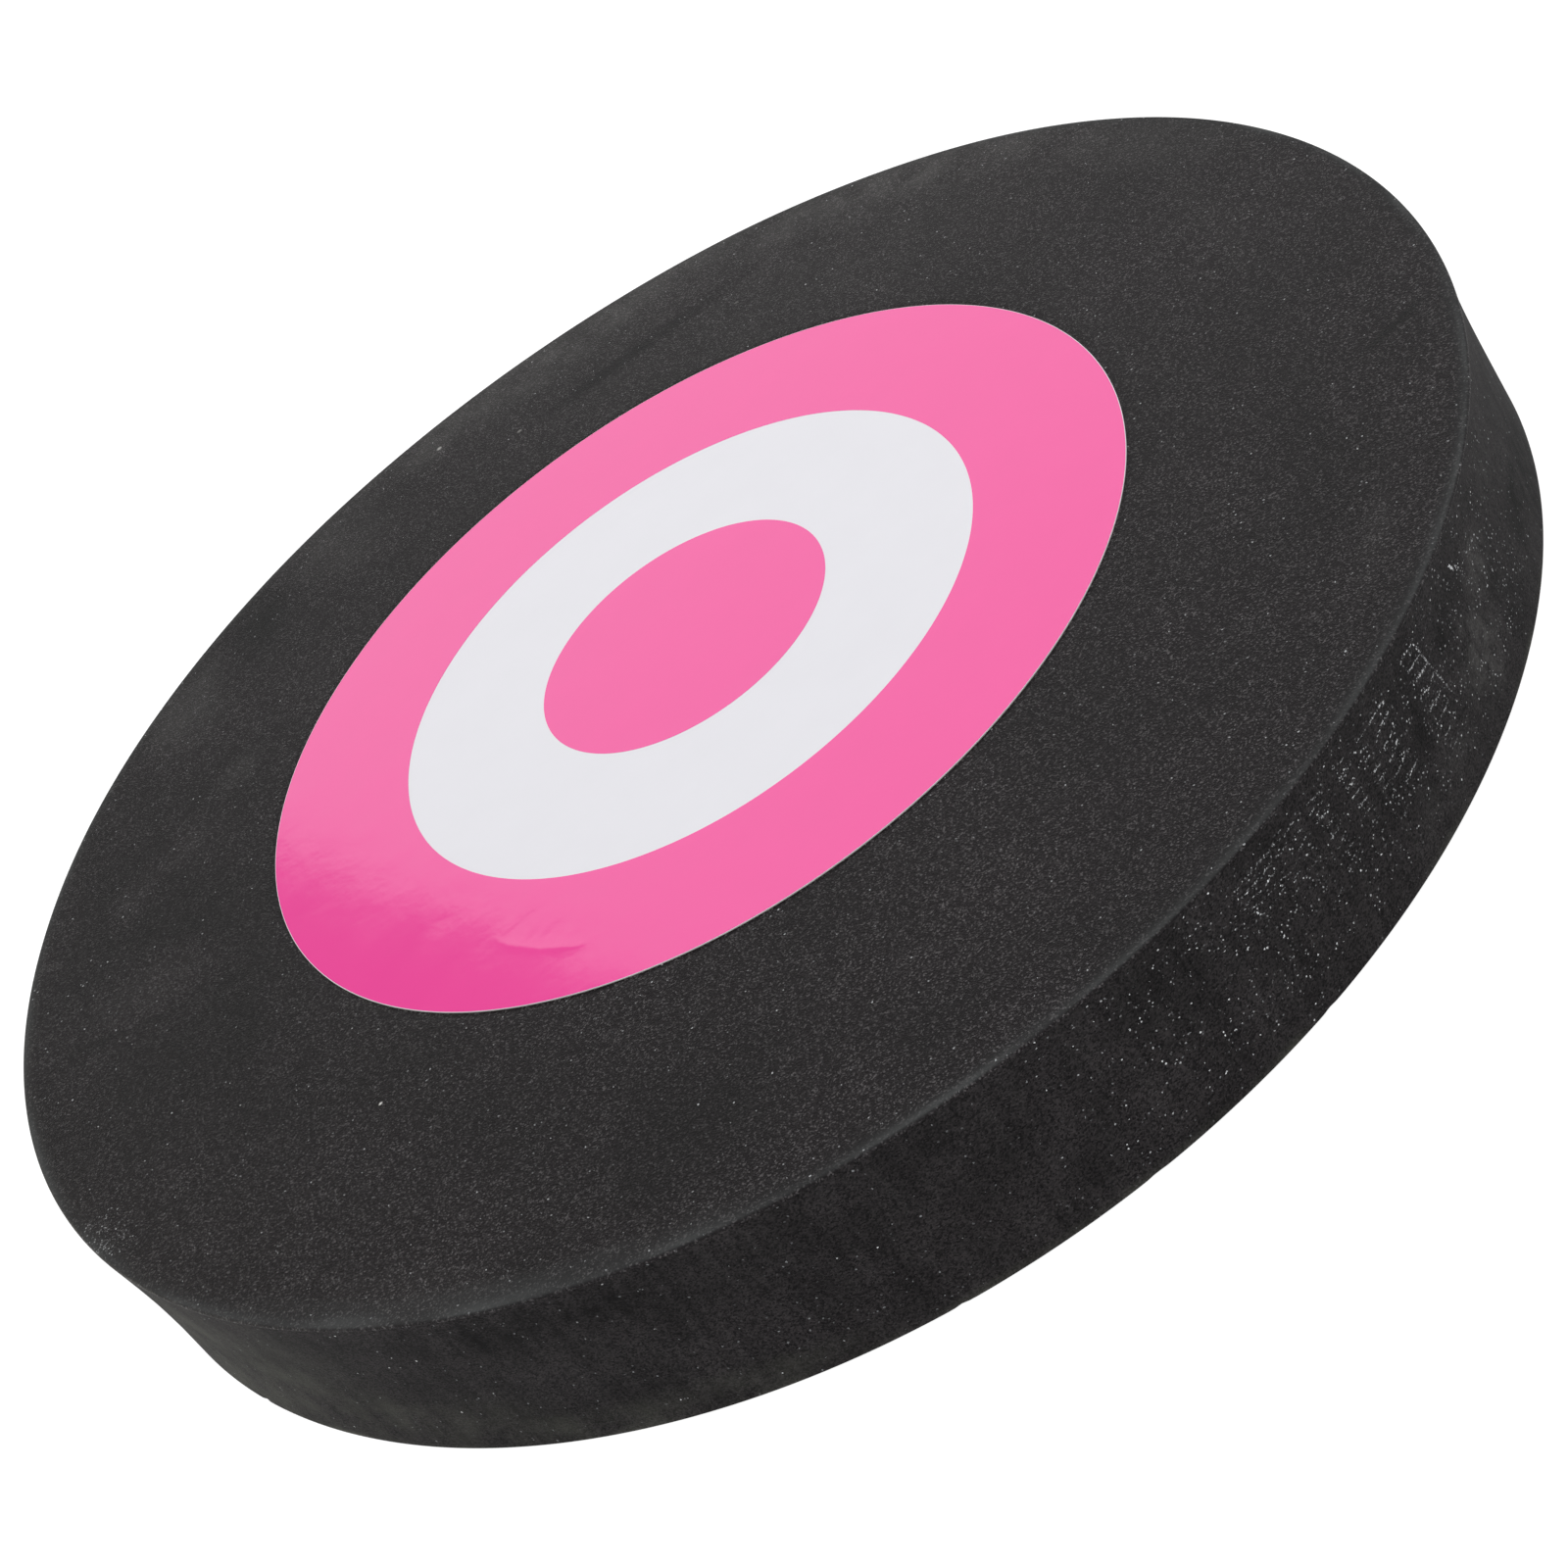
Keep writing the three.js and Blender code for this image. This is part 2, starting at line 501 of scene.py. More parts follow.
def buildLayer(name, inside, outside, bottom, top, material):
    # one layer of the sticker, following the foam's face, closed underneath and round its edges
    sides = len(faceTurns)
    radii = [r for r in stickerRadii(inside, outside) if r > 0]
    points, faces = [], []
    starts = {}
    for level in (top, bottom):
        for radius in radii:
            starts[(level, radius)] = len(points)
            points.extend(stickerPoint(radius, turn, level) for turn in faceTurns)

    for inner, outer in zip(radii, radii[1:]):
        faces += quads(starts[(top, inner)], starts[(top, outer)], sides)
        faces += quads(starts[(bottom, outer)], starts[(bottom, inner)], sides)
    faces += quads(starts[(top, radii[-1])], starts[(bottom, radii[-1])], sides)
    if inside > 0:
        faces += quads(starts[(bottom, radii[0])], starts[(top, radii[0])], sides)
    else:
        for level, flip in ((top, False), (bottom, True)):
            faces += fan(len(points), starts[(level, radii[0])], sides, flip)
            points.append(stickerPoint(0, 0, level))
    return makePiece(name, points, faces, [material], sharpOver=sticker["sharpOver"])


# EVA foam, sliced from its block: the cells are about a quarter of a millimetre across, and cut open
# they catch the light a little differently each, which makes a dry black grain
evaSplitFace = {
    "deep": "0b0508",
    "pale": "535051",
    "haze": "1f1f1e",  # what handling leaves over the cells, and the painted sheen of the far side
    "cell": 0.23,
    "unevenness": 6.2,  # how few of the cells are pale
    "cloud": 26,
    "cloudShare": 0.25,
    # breaks up the marks of handling and the painted light
    "mottle": {"size": 7, "detail": 3, "roughness": 0.6,
               "range": {"From Min": 0.3, "From Max": 0.65, "To Min": 0.3, "To Max": 1.28}},
    # the paler edge: scuffed cells, and a painted highlight along the rounded edge
    "scuffAndHighlightColour": "565858",
    "scuffAndHighlightShare": 0.5,
    "speckColour": "b8babc",
    "speckShare": 0.004,
    "speckUnevenness": 2.5,
    "bump": 0.07,
    "roughness": 0.55,
    "scuffedRoughness": 0.9,
    "scuffedAt": 0.6,  # how scuffed it is where it is that rough
    "specular": 0.17,
    "sheen": 0.02,
    "sheenRoughness": 0.5,
}

# What handling left on the face, with a painted sheen along the far side and a painted shade over its
# left: place, half length, half width, direction, and the share that it is paler or, below zero, darker
faceHandlingAndLight = [
    (-76, 88, 16, 10, 75, 1.5),
    (-41, 107, 17, 12, -60, 1.0),
    (-72, 57, 7, 5, 30, 0.9),
    (-85, 47, 11, 6, 10, 0.6),
    (-97, 43, 7, 5, 70, 0.8),
    (-98, 16, 16, 10, -20, 0.8),
    (26, 97, 27, 3, -2, -1.3),
    # painted sheen: these four make the far side paler towards its edge
    (10, 118, 62, 12, -2, 1.8),
    (74, 96, 52, 13, -38, 1.7),
    (108, 50, 30, 9, -66, 1.0),
    (50, 90, 76, 32, -28, 0.5),
    (-58, 97, 14, 8, 60, -0.5),
    # painted shade: this one darkens the left of the face
    (-91, 18, 56, 26, 86, -0.42),
    (-62, -58, 26, 14, -45, -0.15),
    (-36, -99, 15, 14, 0, -0.28),
    (-56, -84, 11, 11, 0, -0.2),
    (-78, -90, 17, 6, -48, 0.4),
    (80, -82, 13, 3, 50, 0.4),
    (87, -50, 18, 5, 75, -0.25),
    (104, 12, 28, 4, 82, 0.3),
    # scratches and lint
    (-114, 41, 5, 1.0, -38, 0.9),
    (-104, 9, 13, 1.3, -24, -0.5),
    (106, -43, 8, 1.3, 12, -0.9),
    (-15, 113, 0.6, 0.6, 0, 20),
    (-1.5, 99, 0.6, 0.5, 0, 16),
    (42, 89, 0.5, 0.4, 0, 16),
    (-72, -50, 0.4, 0.3, 20, 60),
]

# A patch of torn cells on the face: place, size, and how many of the cells
roughPatch = {
    "place": (-118, -36),
    "size": 7,
    "share": 0.14,
}

wallMottleRange = {"From Min": 0.35, "From Max": 0.65, "To Max": 1.6}

# The same EVA where the die went through: denser and smoother, with faint upright streaks, and darker,
# partly its own tone and partly a painted shade for the wall, which gets less light than the face
evaDieCutWall = {
    "deep": "0a090a",
    "pale": "302d2e",
    "haze": "20201f",
    "cell": 0.23,
    "unevenness": 1.1,
    "cloud": 9,
    "cloudShare": 0.3,
    # where the paler edge runs onto the wall: scuffed cells and a painted highlight
    "scuffAndHighlightColour": "565858",
    "scuffAndHighlightShare": 0.3,
    "speckColour": "7c7e80",
    "speckShare": 0.006,
    "speckUnevenness": 2.5,
    "bump": 0.04,
    "roughness": 0.78,
    "specular": 0.1,
    "streak": 1.6,
    "streakLength": 14,
    "streakShare": 0.25,
    "mottle": {"size": 2.6, "detail": 4, "roughness": 0.65, "range": wallMottleRange},
    "dustAndReflection": "62645a",
    "dustAndReflectionMottle": {"size": 8, "detail": 4, "roughness": 0.65, "range": wallMottleRange},
    "edgeDust": 0.25,  # rubbed into the back edge
    "edgeDustHeight": 1.8,
    "edgeDustFull": 0.3,
    "edgeDustPatch": 12,
    "edgeDustRange": {"From Min": 0.45, "From Max": 0.65},
}

# What handling left on the wall, with painted shade under the rolled edge and low on its right end:
# direction and half width in degrees, height and half height in millimetres, and the share that it is
# paler or darker
wallHandlingAndShade = [
    (312.5, 3, 11, 6, 1.5),
    (316.5, 2.4, 19, 4, 1.2),
    (324, 3, 22, 4, 0.6),
    (304, 5, 6, 5, 0.4),
    (306.5, 1, 8, 3, 0.4),
    (309.3, 0.8, 19, 4, -0.5),
    (303.8, 0.7, 16, 5, -0.4),
    # painted shade: these two darken the low right end of the wall
    (327.5, 3, 10, 4, -0.8),
    (334, 4.5, 6, 9, -0.75),
    (318.5, 2.5, 6, 3, -0.4),
    # painted shade: this one darkens the wall under the rolled edge
    (236, 9, 25, 4, -0.4),
]

# Pale dust on the wall, and at its left end, round 206 degrees, partly a painted reflection of light seen
# at a grazing angle, in the same numbers
wallDustAndReflection = [
    (206, 13, 10, 22, 0.16),
    (224, 9, 5, 7, 0.1),
    (240, 12, 3, 3, 0.1),
]

# Torn cells on the wall: pale, and larger than whole ones, their paleness partly the cells' own and partly
# a painted glint where their walls would catch the light
tornCellsAndGlints = {
    "colour": "dee0e2",
    "cell": 0.22,
    "rungChance": 0.55,  # how many of a rung's cells are torn
    "rungShade": (-0.05, 1.2),  # how pale, from the dimmest to the brightest
    "rungHalf": 0.28,
    "rungCore": 0.06,
    "betweenRungs": 0.09,  # and how many between the rungs, against those on them
    "ladderTop": (0.9, 0.3),  # where the first rung ends above its middle
    "ladderSides": (1.4, 0.8),
    "rungFade": 11,  # the rungs fade towards the foot
    "sway": 1.2,  # how far the rungs stray
    "swayLength": 4,
    # torn cells outside the ladders: the directions and heights between which there are more of them
    "singleFrom": -76,
    "singleTo": -43,
    "singleSoft": 16,
    "singleChance": 0.05,
    "strayChance": 0.002,
    "singleUnevenness": 7,
    "low": 6,
    "high": 26,
    "soft": 3,
}

# Cast vinyl film: white, glossy, with the faint orange peel of a soft backing
castVinyl = {
    "colour": "e2e1e7",
    "roughness": 0.09,
    "ior": 1.5,
    "peel": 1.6,
    "peelBump": 0.009,
    "slack": 9,  # and of a film laid on by hand
    "slackBump": 0.036,
    "cloud": 9,  # slight changes of gloss and tone
    "cloudGloss": (0.85, 1.2),
    "cloudTone": 1.04,
}

# Screen ink printed on the film: pink, as glossy as the film
screenInk = {
    "colour": "f2469c",
    "roughness": 0.09,
    "ior": 1.5,
}

# Acrylic adhesive: a clear, yellowish, slightly tacky coat that shows only at the sticker's edge
acrylicAdhesive = {
    "colour": "d9d4c4",
    "roughness": 0.45,
    "streak": 2,
    "streakTone": 0.8,
}

noiseRange = {"From Min": 0.3, "From Max": 0.7}  # where most of a noise texture's values lie
darkestMark = 0.1  # what is left of a cell's colour in the darkest mark

# Where the edge of a mark fades out, and where it is full, in shares of its half size
faceMarkEdge = {"From Min": 1.2, "From Max": 0.2}
wallMarkEdge = {"From Min": 1.5, "From Max": 0.3}


def addCells(tree, place, make, change, chance=None):
    # cut-open foam cells: returns the colour, and a height for the bump; change makes them paler or
    # darker, and chance is how many of them are torn
    cells = addNode(tree, "ShaderNodeTexVoronoi", {"Scale": 1 / (make["cell"] * mm)}, {"Vector": place})
    pick = addNode(tree, "ShaderNodeSeparateColor", links={0: cells.outputs["Color"]})
    few = addNode(tree, "ShaderNodeMath", {"operation": "POWER", 1: make["unevenness"]},
                  {0: pick.outputs[0]})
    grain = addNode(tree, "ShaderNodeMix",
                    {"data_type": "RGBA", 6: linear(make["deep"]), 7: linear(make["pale"])},
                    {0: few.outputs[0]})
    cloud = addNode(tree, "ShaderNodeTexNoise",
                    {"Scale": 1 / (make["cloud"] * mm), "Detail": 3, "Roughness": 0.55}, {"Vector": place})
    cloudy = addNode(tree, "ShaderNodeMapRange",
                     {**noiseRange, "To Min": 1 - make["cloudShare"], "To Max": 1 + make["cloudShare"]},
                     {"Value": cloud.outputs["Fac"]})
    # darker marks, among them painted shade, dim the cells, and paler ones, among them painted sheen, lie
    # over them as a haze
    darker = addNode(tree, "ShaderNodeMath", {"operation": "MINIMUM", 1: 0}, {0: change})
    changed = addNode(tree, "ShaderNodeMath", {"operation": "ADD"},
                      {0: cloudy.outputs["Result"], 1: darker.outputs[0]})
    times = addNode(tree, "ShaderNodeMath", {"operation": "MAXIMUM", 1: darkestMark},
                    {0: changed.outputs[0]})
    dimmed = addNode(tree, "ShaderNodeVectorMath", {"operation": "SCALE"},
                     {0: grain.outputs[2], "Scale": times.outputs[0]})
    paler = addNode(tree, "ShaderNodeMath", {"operation": "MAXIMUM", 1: 0}, {0: change})
    whole = addNode(tree, "ShaderNodeVectorMath",
                    {"operation": "MULTIPLY_ADD", 1: linear(make["haze"])[:3]},
                    {0: paler.outputs[0], 2: dimmed.outputs[0]})
    # paler towards the edge: scuffed cells, and a painted highlight along the rounded edge
    edge = addNode(tree, "ShaderNodeAttribute", {"attribute_name": "scuffedAndHighlit"})
    scuffAndHighlight = addNode(tree, "ShaderNodeMath", {"operation": "MULTIPLY", 1: make["scuffAndHighlightShare"]},
                    {0: edge.outputs["Fac"]})
    scuffedAndHighlit = addNode(tree, "ShaderNodeMix", {"data_type": "RGBA", 7: linear(make["scuffAndHighlightColour"])},
                      {0: scuffAndHighlight.outputs[0], 6: whole.outputs[0]})
    speck = addNode(tree, "ShaderNodeMath", {"operation": "LESS_THAN", 1: make["speckShare"]},
                    {0: pick.outputs[1]})
    if chance:
        tree.links.new(chance, speck.inputs[1])
    glint = addNode(tree, "ShaderNodeMath", {"operation": "POWER", 1: make["speckUnevenness"]},
                    {0: pick.outputs[2]})
    shade = addNode(tree, "ShaderNodeMath", {"operation": "MULTIPLY"},
                    {0: speck.outputs[0], 1: glint.outputs[0]})
    colour = addNode(tree, "ShaderNodeMix", {"data_type": "RGBA", 7: linear(make["speckColour"])},
                     {0: shade.outputs[0], 6: scuffedAndHighlit.outputs[2]})
    return colour.outputs[2], cells.outputs["Distance"]


def addPatch(tree, spot, centre, halves, direction, edge):
    # 1 in the middle of a soft-edged oval, 0 outside it
    local = addNode(tree, "ShaderNodeMapping",
                    {"vector_type": "TEXTURE", "Location": centre,
                     "Rotation": (0, 0, math.radians(direction)), "Scale": halves}, {"Vector": spot})
    away = addNode(tree, "ShaderNodeVectorMath", {"operation": "LENGTH"}, {0: local.outputs[0]})
    inside = addNode(tree, "ShaderNodeMapRange", {"interpolation_type": "SMOOTHSTEP", **edge},
                     {"Value": away.outputs["Value"]})
    return inside.outputs["Result"]


def addFacePatch(tree, place, x, y, long, wide, direction):
    return addPatch(tree, place, (x * mm, y * mm, disc["thickness"] * mm),
                    (long * mm, wide * mm, long * mm), direction, faceMarkEdge)


def addMarks(tree, place, patches, mottle):
    # patches added up, each with its strength, and broken up by a mottle
    marks = None
    for patch, strength in patches:
        mark = addNode(tree, "ShaderNodeMath", {"operation": "MULTIPLY_ADD", 1: strength, 2: 0},
                       {0: patch})
        if marks:
            tree.links.new(marks, mark.inputs[2])
        marks = mark.outputs[0]
    cloud = addNode(tree, "ShaderNodeTexNoise",
                    {"Scale": 1 / (mottle["size"] * mm), "Detail": mottle["detail"],
                     "Roughness": mottle["roughness"]}, {"Vector": place})
    patchy = addNode(tree, "ShaderNodeMapRange", mottle["range"], {"Value": cloud.outputs["Fac"]})
    broken = addNode(tree, "ShaderNodeMath", {"operation": "MULTIPLY"},
                     {0: marks, 1: patchy.outputs["Result"]})
    return broken.outputs[0]


def makeFaceMaterial():
    make = evaSplitFace
    material, tree = newMaterial("evaSplitFace")
    place = addNode(tree, "ShaderNodeTexCoord").outputs["Object"]
    # handling marks, with painted sheen on the far side and painted shade on the left
    patches = [(addFacePatch(tree, place, *mark), paler) for *mark, paler in faceHandlingAndLight]
    handlingAndPaintedLight = addMarks(tree, place, patches, make["mottle"])
    picked = addFacePatch(tree, place, *roughPatch["place"], roughPatch["size"], roughPatch["size"], 0)
    chance = addNode(tree, "ShaderNodeMath",
                     {"operation": "MULTIPLY_ADD", 1: roughPatch["share"], 2: make["speckShare"]},
                     {0: picked})
    colour, height = addCells(tree, place, make, handlingAndPaintedLight, chance.outputs[0])
    bump = addNode(tree, "ShaderNodeBump", {"Distance": make["bump"] * mm}, {"Height": height})
    edge = addNode(tree, "ShaderNodeAttribute", {"attribute_name": "scuffedAndHighlit"})
    rough = addNode(tree, "ShaderNodeMapRange",
                    {"From Max": make["scuffedAt"], "To Min": make["roughness"],
                     "To Max": make["scuffedRoughness"]},
                    {"Value": edge.outputs["Fac"]})
    shader = addNode(tree, "ShaderNodeBsdfPrincipled",
                     {"Specular IOR Level": make["specular"], "Sheen Weight": make["sheen"],
                      "Sheen Roughness": make["sheenRoughness"]},
                     {"Base Color": colour, "Roughness": rough.outputs["Result"],
                      "Normal": bump.outputs["Normal"]})
    return finished(material, shader)


def addWallPlace(tree, place):
    # where on the wall a point is: its direction in degrees and its height in millimetres
    axes = addNode(tree, "ShaderNodeSeparateXYZ", links={"Vector": place})
    angle = addNode(tree, "ShaderNodeMath", {"operation": "ARCTAN2"},
                    {0: axes.outputs["Y"], 1: axes.outputs["X"]})
    degrees = addNode(tree, "ShaderNodeMath", {"operation": "DEGREES"}, {0: angle.outputs[0]})
    height = addNode(tree, "ShaderNodeMath", {"operation": "DIVIDE", 1: mm}, {0: axes.outputs["Z"]})
    return degrees.outputs[0], height.outputs[0]


def addWallMarks(tree, place, degrees, height, marks, mottle):
    wallSpot = addNode(tree, "ShaderNodeCombineXYZ", links={"X": degrees, "Y": height})
    patches = []
    for middle, half, level, halfHeight, strength in marks:
        patch = addPatch(tree, wallSpot.outputs[0], (wrapped(middle), level, 0), (half, halfHeight, 1), 0,
                         wallMarkEdge)
        patches.append((patch, strength))
    return addMarks(tree, place, patches, mottle)


def addWindow(tree, value, low, high, soft, most):
    # most between low and high, fading to 0 over soft outside them
    rise = addNode(tree, "ShaderNodeMapRange",
                   {"interpolation_type": "SMOOTHSTEP", "From Min": low - soft, "From Max": low,
                    "To Max": most}, {"Value": value})
    fall = addNode(tree, "ShaderNodeMapRange",
                   {"interpolation_type": "SMOOTHSTEP", "From Min": high + soft, "From Max": high},
                   {"Value": value, "To Max": rise.outputs["Result"]})
    return fall.outputs["Result"]


def addLadders(tree, place, degrees, height):
    # the columns of torn cells: 1 on a strong rung, 0 off the rungs
    sway = addNode(tree, "ShaderNodeTexNoise", {"Scale": 1 / (tornCellsAndGlints["swayLength"] * mm)},
                   {"Vector": place})
    swayed = addNode(tree, "ShaderNodeMath", {"operation": "MULTIPLY_ADD", 1: 2 * tornCellsAndGlints["sway"]},
                     {0: sway.outputs["Fac"], 2: height})
    topEnd, topFull = tornCellsAndGlints["ladderTop"]
    outer, inner = tornCellsAndGlints["ladderSides"]
    ladders = None
    for middle, half, top, foot, spacing, lean, strength in tornColumns:
        middle = wrapped(middle)
        offset = addNode(tree, "ShaderNodeMath",
                         {"operation": "MULTIPLY_ADD", 1: lean, 2: -middle - lean * top}, {0: height})
        side = addNode(tree, "ShaderNodeMath", {"operation": "ADD"}, {0: degrees, 1: offset.outputs[0]})
        away = addNode(tree, "ShaderNodeMath", {"operation": "ABSOLUTE"}, {0: side.outputs[0]})
        below = addNode(tree, "ShaderNodeMath", {"operation": "SUBTRACT", 1: top + tornCellsAndGlints["sway"]},
                        {0: swayed.outputs[0]})
        fromRung = addNode(tree, "ShaderNodeMath", {"operation": "PINGPONG", 1: spacing / 2},
                           {0: below.outputs[0]})
        rung = addNode(tree, "ShaderNodeMapRange",
                       {"From Min": tornCellsAndGlints["rungHalf"], "From Max": tornCellsAndGlints["rungCore"],
                        "To Min": strength * tornCellsAndGlints["betweenRungs"], "To Max": strength},
                       {"Value": fromRung.outputs[0]})
        # each range is scaled by the one before it
        under = addNode(tree, "ShaderNodeMapRange", {"From Min": top + topEnd, "From Max": top + topFull},
                        {"Value": height, "To Max": rung.outputs["Result"]})
        above = addNode(tree, "ShaderNodeMapRange",
                        {"From Min": foot, "From Max": foot + tornCellsAndGlints["rungFade"]},
                        {"Value": height, "To Max": under.outputs["Result"]})
        ladder = addNode(tree, "ShaderNodeMapRange",
                         {"interpolation_type": "SMOOTHSTEP", "From Min": outer * half,
                          "From Max": inner * half},
                         {"Value": away.outputs[0], "To Max": above.outputs["Result"]}).outputs["Result"]
        if ladders:
            ladder = addNode(tree, "ShaderNodeMath", {"operation": "MAXIMUM"},
                             {0: ladders, 1: ladder}).outputs[0]
        ladders = ladder
    return ladders


def addTornCellsAndGlints(tree, place, degrees, height):
    # how pale the torn cells of the wall are, partly their own tone and partly painted glints, 0 where
    # they are whole
    ladders = addLadders(tree, place, degrees, height)
    low, high = tornCellsAndGlints["low"], tornCellsAndGlints["high"]
    area = addWindow(tree, height, low, high, tornCellsAndGlints["soft"], tornCellsAndGlints["singleChance"])
    spread = addWindow(tree, degrees, tornCellsAndGlints["singleFrom"], tornCellsAndGlints["singleTo"],
                       tornCellsAndGlints["singleSoft"], 1)
    single = addNode(tree, "ShaderNodeMath", {"operation": "MULTIPLY_ADD", 2: tornCellsAndGlints["strayChance"]},
                     {0: area, 1: spread})
    chance = addNode(tree, "ShaderNodeMath", {"operation": "MULTIPLY_ADD", 1: tornCellsAndGlints["rungChance"]},
                     {0: ladders, 2: single.outputs[0]})
    cells = addNode(tree, "ShaderNodeTexVoronoi", {"Scale": 1 / (tornCellsAndGlints["cell"] * mm)},
                    {"Vector": place})
    pick = addNode(tree, "ShaderNodeSeparateColor", links={0: cells.outputs["Color"]})
    torn = addNode(tree, "ShaderNodeMath", {"operation": "LESS_THAN"},
                   {0: pick.outputs[0], 1: chance.outputs[0]})
    dim = addNode(tree, "ShaderNodeMath", {"operation": "POWER", 1: tornCellsAndGlints["singleUnevenness"]},
                  {0: pick.outputs[1]})
    dimmest, brightest = tornCellsAndGlints["rungShade"]
    bright = addNode(tree, "ShaderNodeMapRange", {"To Min": dimmest, "To Max": brightest},
                     {"Value": pick.outputs[1]})
    onRung = addNode(tree, "ShaderNodeMath", {"operation": "MULTIPLY"},
                     {0: ladders, 1: bright.outputs["Result"]})
    shade = addNode(tree, "ShaderNodeMath", {"operation": "MAXIMUM"},
                    {0: dim.outputs[0], 1: onRung.outputs[0]})
    pale = addNode(tree, "ShaderNodeMath", {"operation": "MULTIPLY"},
                   {0: torn.outputs[0], 1: shade.outputs[0]})
    return pale.outputs[0]


def makeWallMaterial():
    make = evaDieCutWall
    material, tree = newMaterial("evaDieCutWall")
    place = addNode(tree, "ShaderNodeTexCoord").outputs["Object"]
    degrees, height = addWallPlace(tree, place)
    glint = addTornCellsAndGlints(tree, place, degrees, height)
    handlingAndPaintedLight = addWallMarks(tree, place, degrees, height, wallHandlingAndShade, make["mottle"])
    dustAndReflection = addWallMarks(tree, place, degrees, height, wallDustAndReflection, make["dustAndReflectionMottle"])
    upright = addNode(tree, "ShaderNodeVectorMath",
                      {"operation": "MULTIPLY", 1: (1, 1, make["streak"] / make["streakLength"])},
                      {0: place})
    streaks = addNode(tree, "ShaderNodeTexNoise",
                      {"Scale": 1 / (make["streak"] * mm), "Roughness": 0.6},
                      {"Vector": upright.outputs[0]})
    streak = addNode(tree, "ShaderNodeMapRange",
                     {**noiseRange, "To Min": -make["streakShare"], "To Max": make["streakShare"]},
                     {"Value": streaks.outputs["Fac"]})
    change = addNode(tree, "ShaderNodeMath", {"operation": "ADD"},
                     {0: streak.outputs["Result"], 1: handlingAndPaintedLight})
    cellColour, cellHeight = addCells(tree, place, make, change.outputs[0])
    low = addNode(tree, "ShaderNodeMapRange",
                  {"From Min": make["edgeDustHeight"], "From Max": make["edgeDustFull"],
                   "To Max": make["edgeDust"]},
                  {"Value": height})
    patches = addNode(tree, "ShaderNodeTexNoise", {"Scale": 1 / (make["edgeDustPatch"] * mm), "Detail": 3},
                      {"Vector": place})
    onEdge = addNode(tree, "ShaderNodeMapRange", make["edgeDustRange"],
                     {"Value": patches.outputs["Fac"], "To Max": low.outputs["Result"]})
    # pale dust, and at the wall's left end partly a painted reflection
    allDustAndReflection = addNode(tree, "ShaderNodeMath", {"operation": "ADD"}, {0: onEdge.outputs["Result"], 1: dustAndReflection})
    dustAndReflectionMix = addNode(tree, "ShaderNodeMix", {"data_type": "RGBA", 7: linear(make["dustAndReflection"])},
                    {0: allDustAndReflection.outputs[0], 6: cellColour})
    # torn cells: pale membranes and painted glints
    colour = addNode(tree, "ShaderNodeMix", {"data_type": "RGBA", 7: linear(tornCellsAndGlints["colour"])},
                     {0: glint, 6: dustAndReflectionMix.outputs[2]})
    relief = addNode(tree, "ShaderNodeMath", {"operation": "ADD"}, {0: cellHeight, 1: glint})
    bump = addNode(tree, "ShaderNodeBump", {"Distance": make["bump"] * mm},
                   {"Height": relief.outputs[0]})
    shader = addNode(tree, "ShaderNodeBsdfPrincipled",
                     {"Roughness": make["roughness"], "Specular IOR Level": make["specular"]},
                     {"Base Color": colour.outputs[2], "Normal": bump.outputs["Normal"]})
    return finished(material, shader)


def makeGlossMaterial(name, make):
    material, tree = newMaterial(name)
    place = addNode(tree, "ShaderNodeTexCoord").outputs["Object"]
    peel = addNode(tree, "ShaderNodeTexNoise", {"Scale": 1 / (castVinyl["peel"] * mm)}, {"Vector": place})
    slack = addNode(tree, "ShaderNodeTexNoise", {"Scale": 1 / (castVinyl["slack"] * mm), "Detail": 1},
                    {"Vector": place})
    wavy = addNode(tree, "ShaderNodeBump", {"Distance": castVinyl["slackBump"] * mm},
                   {"Height": slack.outputs["Fac"]})
    bump = addNode(tree, "ShaderNodeBump", {"Distance": castVinyl["peelBump"] * mm},
                   {"Height": peel.outputs["Fac"], "Normal": wavy.outputs["Normal"]})
    cloud = addNode(tree, "ShaderNodeTexNoise", {"Scale": 1 / (castVinyl["cloud"] * mm), "Detail": 3},
                    {"Vector": place})
    glossiest, dullest = castVinyl["cloudGloss"]
    rough = addNode(tree, "ShaderNodeMapRange",
                    {**noiseRange, "To Min": make["roughness"] * glossiest,
                     "To Max": make["roughness"] * dullest}, {"Value": cloud.outputs["Fac"]})
    deep = linear(make["colour"])
    pale = [min(1, c * castVinyl["cloudTone"]) for c in deep[:3]] + [1]
    tint = addNode(tree, "ShaderNodeMix", {"data_type": "RGBA", 6: deep, 7: pale},
                   {0: cloud.outputs["Fac"]})
    shader = addNode(tree, "ShaderNodeBsdfPrincipled", {"IOR": make["ior"]},
                     {"Base Color": tint.outputs[2], "Roughness": rough.outputs["Result"],
                      "Normal": bump.outputs["Normal"]})
    return finished(material, shader)


def makeAdhesiveMaterial():
    make = acrylicAdhesive
    material, tree = newMaterial("acrylicAdhesive")
    place = addNode(tree, "ShaderNodeTexCoord").outputs["Object"]
    streak = addNode(tree, "ShaderNodeTexNoise", {"Scale": 1 / (make["streak"] * mm)}, {"Vector": place})
    clear = linear(make["colour"])
    thick = [c * make["streakTone"] for c in clear[:3]] + [1]
    tint = addNode(tree, "ShaderNodeMix", {"data_type": "RGBA", 6: clear, 7: thick},
                   {0: streak.outputs["Fac"]})
    shader = addNode(tree, "ShaderNodeBsdfPrincipled", {"Roughness": make["roughness"]},
                     {"Base Color": tint.outputs[2]})
    return finished(material, shader)


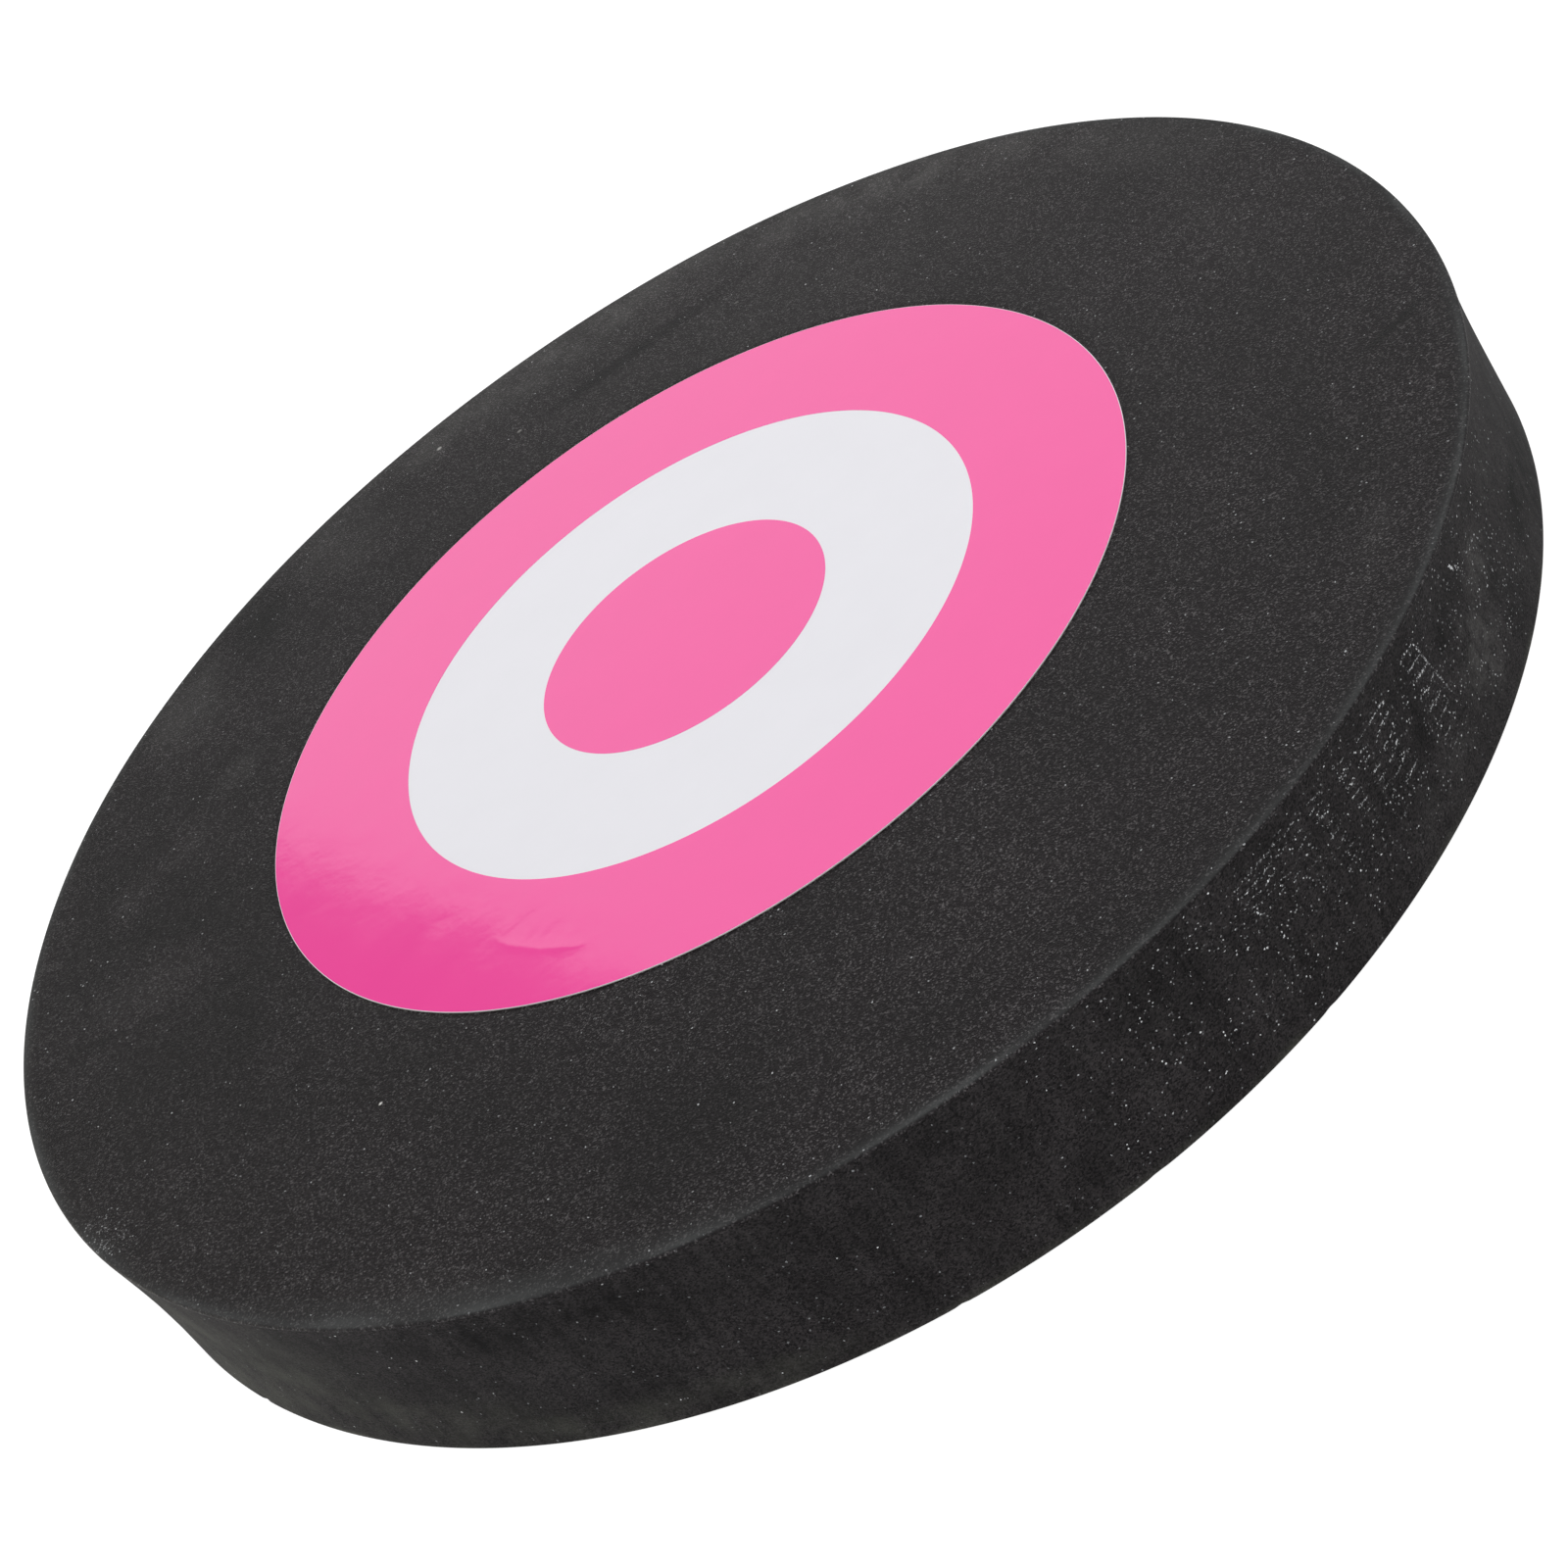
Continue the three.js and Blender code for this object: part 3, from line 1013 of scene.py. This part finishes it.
foamFace = makeFaceMaterial()
foamWall = makeWallMaterial()
vinyl = makeGlossMaterial("castVinylWhite", castVinyl)
ink = makeGlossMaterial("screenInkPink", screenInk)
adhesiveCoat = makeAdhesiveMaterial()
print("boss: materials made")

foamDisc = buildDisc(foamFace, foamWall)
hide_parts("foam_disc")
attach(foamDisc, "root")
print("boss: foam disc,", len(foamDisc.data.polygons), "faces")

adhesiveTop = sticker["adhesive"]
filmTop = adhesiveTop + sticker["film"]
inkTop = filmTop + sticker["ink"]
layers = [
    ("vinyl_adhesive_coat", "sticker_adhesive", "adhesive", 0, sticker["radius"],
     0, adhesiveTop, adhesiveCoat),
    ("vinyl_film", "sticker_film", "film", 0, sticker["radius"], adhesiveTop, filmTop, vinyl),
    ("pink_outer_ring", "printed_outer_ring", "ink", sticker["ringInside"], sticker["ringOutside"],
     filmTop, inkTop, ink),
    ("pink_bullseye", "printed_bullseye", "ink", 0, sticker["bullseye"], filmTop, inkTop, ink),
]
for name, node, slot, inside, outside, bottom, top, material in layers:
    layer = buildLayer(name, inside, outside, bottom, top, material)
    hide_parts(node)
    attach(layer, "root")
    print("boss:", name)

# Studio: a pale floor, open where the boss lies on it so that the back gets light from below
studio = {
    "floorColour": "8c8c8c",
    "floorGlow": 0.9,
    "floorRings": (121.5, 200, 400, 1000, 6000),  # from the opening to the floor's end
    "floorSides": 128,
    "horizon": 0.75,  # brightness of the backdrop, low round the room
    "overhead": 0.22,  # and above it
    "horizonEdge": {"From Min": 0.18, "From Max": 0.36},
    "rightShare": 0.4,  # the room is dimmer on the right
    "rightEdge": {"From Min": 0.5, "From Max": 0.95},
}

# Soft boxes: centre, size, brightness, what they point at, turn about their own axis, and colour
softBoxes = {
    "slantedOverhead": ((675, 1512, 1030), (1600, 2900), 1.2, (675, 1512, 0), 23.3, "ffffff"),
    "keyOverhead": ((0, -600, 1500), (1200, 1000), 4.2, (0, 0, 0), 0, "ffffff"),
    "warmSide": ((-1254, 945, 130), (800, 250), 11, (-120, 0, 15), 0, "fffdea"),
}


def buildFloor():
    sides = studio["floorSides"]
    points, faces = [], []
    for radius in studio["floorRings"]:
        points += [around(radius, 2 * math.pi * i / sides) for i in range(sides)]
    for ring in range(1, len(studio["floorRings"])):
        faces += quads((ring - 1) * sides, ring * sides, sides)
    material, tree = newMaterial("paintedStudioFloor")
    diffuse = addNode(tree, "ShaderNodeBsdfDiffuse", {"Color": linear(studio["floorColour"])})
    glow = addNode(tree, "ShaderNodeEmission", {"Strength": studio["floorGlow"]})
    both = addNode(tree, "ShaderNodeAddShader", links={0: diffuse.outputs[0], 1: glow.outputs[0]})
    clear = addNode(tree, "ShaderNodeBsdfTransparent")
    side = addNode(tree, "ShaderNodeNewGeometry")
    seen = addNode(tree, "ShaderNodeMixShader",
                   links={0: side.outputs["Backfacing"], 1: both.outputs[0], 2: clear.outputs[0]})
    return makePiece("studio_floor", points, faces, [finished(material, seen)])


def buildSoftBox(name, place, size, brightness, aim, turn, colour):
    light = bpy.data.lights.new(name, "AREA")
    light.shape = "RECTANGLE"
    light.size, light.size_y = size[0] * mm, size[1] * mm
    light.energy = brightness * math.pi * light.size * light.size_y
    light.color = linear(colour)[:3]
    box = bpy.data.objects.new(name, light)
    scene.collection.objects.link(box)
    place = Vector(place) * mm
    facing = (Vector(aim) * mm - place).to_track_quat("-Z", "Y").to_matrix().to_4x4()
    box.matrix_world = Matrix.Translation(place) @ facing @ Matrix.Rotation(math.radians(turn), 4, "Z")
    box.visible_camera = False


def buildWorld():
    world = bpy.data.worlds.new("studio")
    scene.world = world
    world.use_nodes = True
    tree = world.node_tree
    tree.nodes.clear()
    way = addNode(tree, "ShaderNodeTexCoord")
    axes = addNode(tree, "ShaderNodeSeparateXYZ", links={"Vector": way.outputs["Generated"]})
    strength = addNode(tree, "ShaderNodeMapRange",
                       {"interpolation_type": "SMOOTHSTEP", **studio["horizonEdge"],
                        "To Min": studio["horizon"], "To Max": studio["overhead"]},
                       {"Value": axes.outputs["Z"]})
    right = addNode(tree, "ShaderNodeMapRange",
                    {"interpolation_type": "SMOOTHSTEP", **studio["rightEdge"], "To Min": 1,
                     "To Max": studio["rightShare"]}, {"Value": axes.outputs["X"]})
    glow = addNode(tree, "ShaderNodeMath", {"operation": "MULTIPLY"},
                   {0: strength.outputs["Result"], 1: right.outputs["Result"]})
    background = addNode(tree, "ShaderNodeBackground", {"Color": (1, 1, 1, 1)},
                         {"Strength": glow.outputs[0]})
    addNode(tree, "ShaderNodeOutputWorld", links={"Surface": background.outputs[0]})


buildFloor()
for name, settings in softBoxes.items():
    buildSoftBox(name, *settings)
buildWorld()
scene.view_settings.view_transform = "Standard"
print("boss: studio ready")
